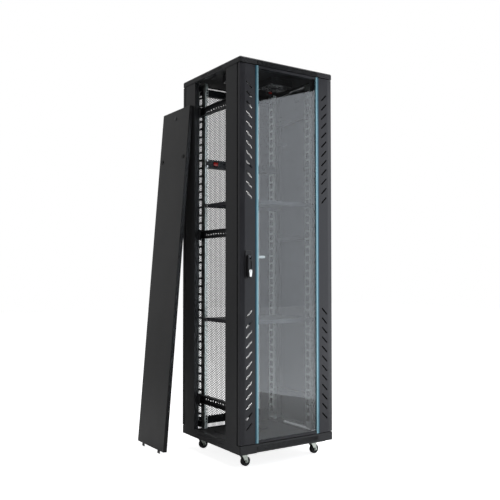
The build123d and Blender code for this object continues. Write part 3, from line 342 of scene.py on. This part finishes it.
mesh_low, mesh_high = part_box("rear_door_mesh")
hole_pitch = 0.010
bridge = 0.0032
weld_distance = hole_pitch / 100
band_count = 3
band_height = (mesh_high.z - mesh_low.z) / band_count
column_step = hole_pitch * math.sqrt(3)
column_count = int((mesh_high.x - mesh_low.x) / column_step) + 2
row_count = int(band_height / hole_pitch) + 2
for band in range(band_count):
    low = mesh_low.z + band * band_height
    corner = Vector((mesh_low.x, mesh_high.y, low))
    bpy.ops.mesh.primitive_circle_add(vertices=6, radius=hole_pitch / math.sqrt(3), fill_type="NGON",
                                      location=corner, rotation=(math.pi / 2, math.pi / 6, 0))
    mesh_sheet = bpy.context.object
    mesh_sheet.name = "rear_mesh_%d" % (band + 1)
    bpy.ops.object.transform_apply(location=True, rotation=True, scale=True)
    bpy.ops.object.mode_set(mode="EDIT")
    bpy.ops.mesh.select_all(action="SELECT")
    bpy.ops.mesh.inset(thickness=bridge / 2)
    bpy.ops.mesh.delete(type="FACE")
    bpy.ops.mesh.select_all(action="SELECT")
    bpy.ops.mesh.duplicate_move(TRANSFORM_OT_translate={"value": (column_step / 2, 0, hole_pitch / 2)})
    bpy.ops.object.mode_set(mode="OBJECT")
    for axis, count, step in ((0, column_count, column_step), (2, row_count, hole_pitch)):
        array = mesh_sheet.modifiers.new("array", "ARRAY")
        array.count = count
        array.use_relative_offset = False
        array.use_constant_offset = True
        array.constant_offset_displace = [step if number == axis else 0.0 for number in range(3)]
        array.use_merge_vertices = True
        array.merge_threshold = weld_distance
    apply_modifiers(mesh_sheet)
    bpy.ops.object.mode_set(mode="EDIT")
    bpy.ops.mesh.select_all(action="SELECT")
    bpy.ops.mesh.remove_doubles(threshold=weld_distance)
    trims = (((mesh_low.x, 0, 0), (-1, 0, 0)), ((mesh_high.x, 0, 0), (1, 0, 0)),
             ((0, 0, low), (0, 0, -1)), ((0, 0, low + band_height), (0, 0, 1)))
    for point, normal in trims:
        bpy.ops.mesh.select_all(action="SELECT")
        bpy.ops.mesh.bisect(plane_co=point, plane_no=normal, clear_outer=True)
    bpy.ops.object.mode_set(mode="OBJECT")
    solid = mesh_sheet.modifiers.new("gauge", "SOLIDIFY")
    solid.thickness = mesh_high.y - mesh_low.y
    solid.offset = -1
    apply_modifiers(mesh_sheet)
    own(mesh_sheet, "rear_door", "door_black", door_paint, "rear_door_mesh")


# ---------------------------------------------------------------- side panels and their latches
# Plain pans of 1.2 mm steel sheet with turned edges, powder coated; one is in place and the other leans
# beside the cabinet.  Each has a key lock and two slide latches, moulded in nylon.
panel_paint = coated("panel_black_coat", (0.016, 0.016, 0.0168), 0.34, grain=1300.0, depth=0.00006)
dress(panel_paint, "side_panel_left", "side_panel_right")
latch_plastic = coated("latch_plastic", (0.02, 0.02, 0.02), 0.55, grain=1100.0, wear=0.1)
dress(latch_plastic, "latch_front_left", "latch_front_right", "latch_rear_left", "latch_rear_right")


# ---------------------------------------------------------------- castors
# Pressed and zinc-plated forks, each with a moulded black wheel: a ribbed tread, rounded shoulders and a
# dished web.  The axle is held by a hexagon nut at each end.
def turned(name, profile, vertices=64, hollow=True):
    """Piece turned about Z from (radius, height) pairs in mm: a ring, or a solid on a filled foot."""
    radius, height = profile[0]
    bpy.ops.object.select_all(action="DESELECT")
    bpy.ops.mesh.primitive_circle_add(vertices=vertices, radius=radius / 1000,
                                      location=(0, 0, height / 1000),
                                      fill_type="NOTHING" if hollow else "NGON")
    piece = bpy.context.object
    piece.name = name
    bpy.ops.object.transform_apply(location=True)
    bpy.ops.object.mode_set(mode="EDIT")
    bpy.ops.mesh.select_all(action="SELECT")
    for next_radius, next_height in profile[1:] + (profile[:1] if hollow else []):
        bpy.ops.mesh.extrude_region_move()
        share = next_radius / radius
        bpy.ops.transform.resize(value=(share, share, 1), center_override=(0, 0, 0))
        bpy.ops.transform.translate(value=(0, 0, (next_height - height) / 1000))
        radius, height = next_radius, next_height
    bpy.ops.mesh.select_all(action="SELECT")
    bpy.ops.mesh.remove_doubles(threshold=0.000002)
    bpy.ops.mesh.normals_make_consistent(inside=False)
    bpy.ops.object.mode_set(mode="OBJECT")
    select_only(piece)
    bpy.ops.object.shade_smooth_by_angle(angle=math.radians(32))
    return piece


def copied(pattern, name, centre, turn=(0, 0, 0)):
    """Copy of a pattern piece with its own mesh, turned and set at a place."""
    piece = pattern.copy()
    piece.data = pattern.data.copy()
    piece.name = name
    bpy.context.scene.collection.objects.link(piece)
    piece.location = centre
    piece.rotation_euler = turn
    return piece


def discard(pattern):
    """Take a pattern piece away once its copies are made."""
    mesh = pattern.data
    bpy.data.objects.remove(pattern)
    bpy.data.meshes.remove(mesh)


castor_zinc = plated("castor_zinc_plate", (0.60, 0.64, 0.58), 0.34, scale=220.0)
wheel_rubber = coated("wheel_black_tyre", (0.010, 0.010, 0.010), 0.50, grain=700.0, wear=0.25, dust=0.1)
bore_and_web = [(4.1, 11.0), (8.0, 11.0), (8.6, 10.4), (9.2, 8.3), (11.0, 8.0), (16.4, 8.0), (17.6, 8.5)]
rim_and_shoulder = [(18.2, 10.4), (18.9, 11.0), (21.2, 11.0), (23.2, 10.2), (24.5, 8.8)]
ribbed_tread = [(25.0, 6.8), (25.0, 5.2), (24.3, 4.9), (24.3, 4.4), (25.0, 4.1), (25.0, 0.6), (24.3, 0.4)]
near_half = bore_and_web + rim_and_shoulder + ribbed_tread
far_half = [(radius, -height) for radius, height in reversed(near_half)]
wheel_pattern = turned("wheel_pattern", near_half + far_half)
nut_outline = [(5.4, 0.0), (6.4, 0.4), (6.4, 3.0), (5.6, 3.4)]
axle_tip = [(3.4, 3.4), (3.2, 4.2), (2.4, 4.6)]
nut_pattern = turned("nut_pattern", nut_outline + axle_tip, vertices=6, hollow=False)
wheel_to_cheek = 0.0186
for castor in ("front_left", "front_right", "rear_left", "rear_right"):
    dress(castor_zinc, "castor_fork_" + castor)
    low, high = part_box("castor_wheel_" + castor)
    hub = (low + high) / 2
    wheel = copied(wheel_pattern, "castor_tyre_" + castor, hub, (math.pi / 2, 0, 0))
    own(wheel, "wheel_" + castor, "wheel_black", wheel_rubber, "castor_wheel_" + castor)
    for end, label in ((-1, "a"), (1, "b")):
        cheek = Vector((hub.x, hub.y + end * wheel_to_cheek, hub.z))
        nut = copied(nut_pattern, "castor_nut_%s_%s" % (castor, label), cheek, (-end * math.pi / 2, 0, 0))
        own(nut, "castor_" + castor, "castor_zinc", castor_zinc)
discard(wheel_pattern)
discard(nut_pattern)


# ---------------------------------------------------------------- roof screws and lifting-hole plugs
# Nickel-plated pan-head screws hold the roof panel, which carries the fans, under the roof's top sheet.
# Push-in nylon plugs close the four lifting holes.
roof_low, roof_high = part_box("roof_frame")
roof_middle = (roof_low + roof_high) / 2
pan_head = [(4.6, 0.0), (4.6, 0.7), (4.2, 1.5), (3.2, 2.1), (1.9, 2.3), (1.7, 1.0)]
screw_pattern = turned("screw_pattern", pan_head, vertices=32, hollow=False)
screw_reach_across = 0.225
screw_reach_back = 0.130
screw_ways = ((-1, -1), (0, -1), (1, -1), (-1, 1), (0, 1), (1, 1), (-1, 0), (1, 0))
for number, (across, back) in enumerate(screw_ways):
    spot = Vector((roof_middle.x + across * screw_reach_across, roof_middle.y + back * screw_reach_back,
                   roof_high.z))
    screw = copied(screw_pattern, "roof_screw_%d" % (number + 1), spot)
    own(screw, "frame", "bright_steel", bright_plate)
discard(screw_pattern)
plug_outline = [(4.8, -6.0), (5.1, -5.0), (5.1, 0.0), (8.5, 0.0), (8.5, 0.8), (7.6, 1.7), (5.0, 2.2),
                (2.0, 2.4)]
plug_pattern = turned("plug_pattern", plug_outline, vertices=40, hollow=False)
plug_reach = 0.230
for side, side_name in ((-1, "left"), (1, "right")):
    for end, end_name in ((-1, "front"), (1, "rear")):
        spot = Vector((roof_middle.x + side * plug_reach, roof_middle.y + end * plug_reach, roof_high.z))
        plug = copied(plug_pattern, "roof_plug_%s_%s" % (side_name, end_name), spot)
        own(plug, "frame", "latch_plastic", latch_plastic)
discard(plug_pattern)


# ---------------------------------------------------------------- cage nuts
# Square nuts of zinc-plated spring steel, clipped into the rails' holes from behind.
# There is one under each shelf bolt and each power-strip bolt.
cage_outline = [(4.4, 0.0), (8.2, 0.0), (8.6, 0.5), (8.6, 3.4), (8.0, 4.0), (4.4, 4.0)]
cage_pattern = turned("cage_pattern", cage_outline, vertices=4)
strip_bolt_offset = 0.015875
hole_inset = 0.00755
rail_back = 0.0021
cage_places = []
for shelf in ("shelf_lower", "shelf_upper"):
    low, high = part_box(shelf)
    level = (low.z + high.z) / 2
    for rail in ("front_left", "front_right", "rear_left", "rear_right"):
        cage_places.append((rail, level))
low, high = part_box("power_strip")
for rail in ("rear_left", "rear_right"):
    for offset in (-strip_bolt_offset, strip_bolt_offset):
        cage_places.append((rail, (low.z + high.z) / 2 + offset))
for number, (rail, level) in enumerate(cage_places):
    rail_low, rail_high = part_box("rail_" + rail)
    hole_x = rail_high.x - hole_inset if rail.endswith("left") else rail_low.x + hole_inset
    spot = Vector((hole_x, rail_low.y + rail_back, level))
    nut = copied(cage_pattern, "cage_nut_%02d" % (number + 1), spot, (-math.pi / 2, 0, 0))
    nut.rotation_euler.rotate_axis("Z", math.pi / 4)
    own(nut, "frame", "rail_zinc", rail_zinc)
discard(cage_pattern)


# ---------------------------------------------------------------- studio
# A pale floor under a white surround, a tall lit panel to the front right, and soft boxes above and to the
# left.  The surround lights the cabinet more from behind than from the front.
skirt_low, skirt_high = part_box("base_frame")
floor_reach = 14.0
bpy.ops.mesh.primitive_plane_add(size=2 * floor_reach, location=(0, 0, 0))
studio_floor = bpy.context.object
studio_floor.name = "studio_floor"
floor_white, tree, shader = new_material("studio_floor_white")
cloud = placed_group(tree, surface_grain, Scale=90.0)
floor_tone = mixed(tree, cloud["Patch"], (0.86, 0.86, 0.86), (0.88, 0.88, 0.88))
tree.links.new(floor_tone, shader.inputs["Base Color"])
shader.inputs["Roughness"].default_value = 0.75
shader.inputs["Emission Color"].default_value = (1, 1, 1, 1)
seen_directly = put(tree, "LightPath").outputs["Is Camera Ray"]
tree.links.new(spread(tree, seen_directly, 0.04, 0.85), shader.inputs["Emission Strength"])
studio_floor.data.materials.append(floor_white)

world = bpy.data.worlds.new("studio")
world.use_nodes = True
bpy.context.scene.world = world
tree = world.node_tree
look_heading = math.radians(33.77)
toward = put(tree, "TexCoord").outputs["Generated"]
behind = put(tree, "VectorMath", {0: toward, 1: (math.sin(look_heading), math.cos(look_heading), 0.0)},
             operation="DOT_PRODUCT").outputs["Value"]
surround = spread(tree, behind, 0.05, 0.50, -0.25, 0.55)
ray = put(tree, "LightPath").outputs["Is Camera Ray"]
strength = put(tree, "Mix", {0: ray, 2: surround, 3: 1.0}, data_type="FLOAT").outputs[0]
tree.links.new(strength, tree.nodes["Background"].inputs["Strength"])
tree.nodes["Background"].inputs["Color"].default_value = (1, 1, 1, 1)


def soft_box(name, centre, aim, width, height, power, colour=(1, 1, 1)):
    """Rectangular light at a point, turned to face another, out of the camera's sight."""
    light = bpy.data.lights.new(name, "AREA")
    light.shape = "RECTANGLE"
    light.size = width
    light.size_y = height
    light.energy = power
    light.color = colour
    lamp = bpy.data.objects.new(name, light)
    bpy.context.scene.collection.objects.link(lamp)
    lamp.location = centre
    lamp.rotation_euler = (Vector(aim) - Vector(centre)).to_track_quat("-Z", "Y").to_euler()
    lamp.visible_camera = False


middle = (skirt_low + skirt_high) / 2
panel_width = 2.03
panel_height = 2.435
panel_from_skirt = Vector((1.333, -1.096, 0))
panel_way = Vector((-0.946, 0.326, 0))
panel_foot = Vector((middle.x, skirt_low.y, 0)) + panel_from_skirt
panel_centre = Vector((panel_foot.x, panel_foot.y, panel_height / 2))
cool_white = (0.90, 0.94, 1.0)
soft_box("lit_panel", panel_centre, panel_centre + panel_way, panel_width, panel_height, 32.0, cool_white)
soft_box("overhead_box", (0.4, -0.6, 4.2), (0, 0, 0), 3.4, 3.4, 110.0)
soft_box("left_box", (-3.4, -0.6, 2.2), (0, 0, 1.0), 1.6, 2.6, 18.0)


# ---------------------------------------------------------------- camera
# It stands to the cabinet's left front, a little below the cabinet's middle, and looks very slightly up.
# The lens is a moderate one on a 36 mm sensor.
camera_from_skirt = Vector((-1.8449, -2.8483, 0.8971))
camera_pitch = math.radians(2.0211)
camera_heading = math.radians(33.7716)
view = bpy.data.cameras.new("view")
view.sensor_width = 36.0
view.lens = 48.9755
camera = bpy.data.objects.new("view", view)
bpy.context.scene.collection.objects.link(camera)
camera.location = skirt_low + camera_from_skirt
camera.rotation_euler = (math.pi / 2 + camera_pitch, 0, -camera_heading)
bpy.context.scene.camera = camera
bpy.context.scene.view_settings.view_transform = "Standard"
